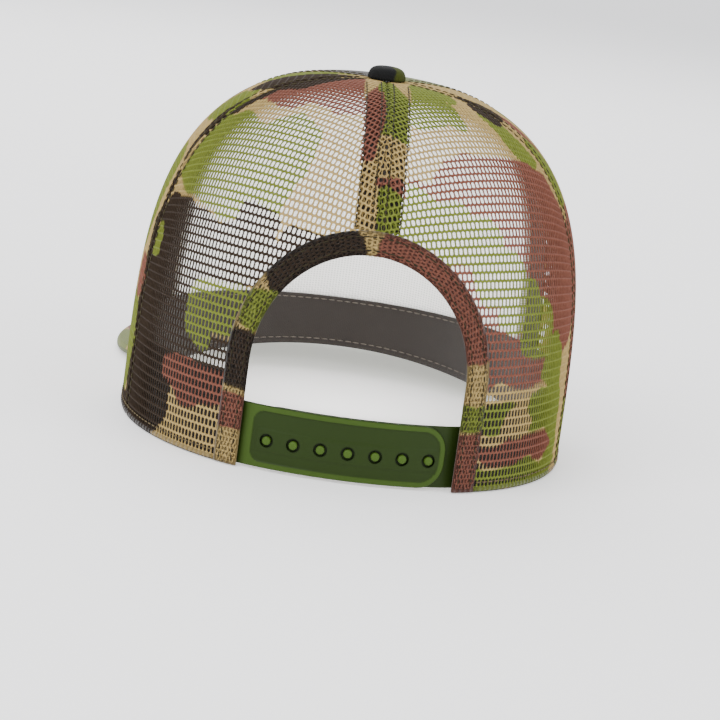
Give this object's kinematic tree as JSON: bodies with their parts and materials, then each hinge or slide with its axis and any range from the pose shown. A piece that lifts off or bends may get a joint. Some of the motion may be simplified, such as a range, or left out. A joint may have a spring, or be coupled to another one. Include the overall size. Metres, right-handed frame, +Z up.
{
  "type": "trucker mesh cap",
  "caption": "Mesh-back cap with a foam-backed front panel, curved visor, covered top button and an arched rear opening closed by a moulded peg strap.",
  "frame": {"origin": "centre of the head opening, in the plane that the rim rests on", "axes": "+Z up through the crown, +Y towards the rear opening, visor towards -Y, +X towards the wearer's left"},
  "size_m": [0.1788, 0.2617, 0.1349],
  "materials": {
    "front_cloth": "woven camouflage print",
    "foam": "foam laminate with knit backing",
    "camo_net": "knitted polyester net with camouflage print",
    "seam_tape": "twill tape",
    "sweatband_cotton": "dark cotton twill",
    "folded_net": "folded knitted net, twin stitched",
    "button_cloth": "woven cloth",
    "button_metal": "plain pressed",
    "retainer_plastic": "matt",
    "visor_board": "matt sheet",
    "visor_lining": "plain woven cloth",
    "strap_plastic": "satin moulded"
  },
  "bodies": {
    "cap": {"front_panel": "front_cloth", "front_foam": "foam", "side_panel_left": "camo_net", "side_panel_right": "camo_net", "back_panel_left": "camo_net", "back_panel_right": "camo_net", "back_seam_tape": "seam_tape", "side_seam_tape_left": "seam_tape", "side_seam_tape_right": "seam_tape", "front_seam_tape_left": "seam_tape", "front_seam_tape_right": "seam_tape", "sweatband": "sweatband_cotton", "opening_binding": "folded_net", "button_cover": "button_cloth", "button_core": "button_metal", "button_retainer": "retainer_plastic", "visor_board": "visor_board", "visor_top_cover": "front_cloth", "visor_under_cover": "visor_lining", "hole_strap_tab": "strap_plastic", "peg_strap_tab": "strap_plastic"},
    "hole_strap": {"hole_strap": "strap_plastic"},
    "peg_strap": {"peg_strap": "strap_plastic"}
  },
  "joints": [
    {"name": "hole_strap_flex", "type": "hinge", "parent": "cap", "child": "hole_strap", "pos_m": [0.03501, 0.08647, 0.0116], "axis": [0, 0, -1], "range_deg": [0, 60]},
    {"name": "peg_strap_flex", "type": "hinge", "parent": "cap", "child": "peg_strap", "pos_m": [-0.03447, 0.08518, 0.0116], "axis": [0, 0, -1], "range_deg": [0, 30]}
  ]
}
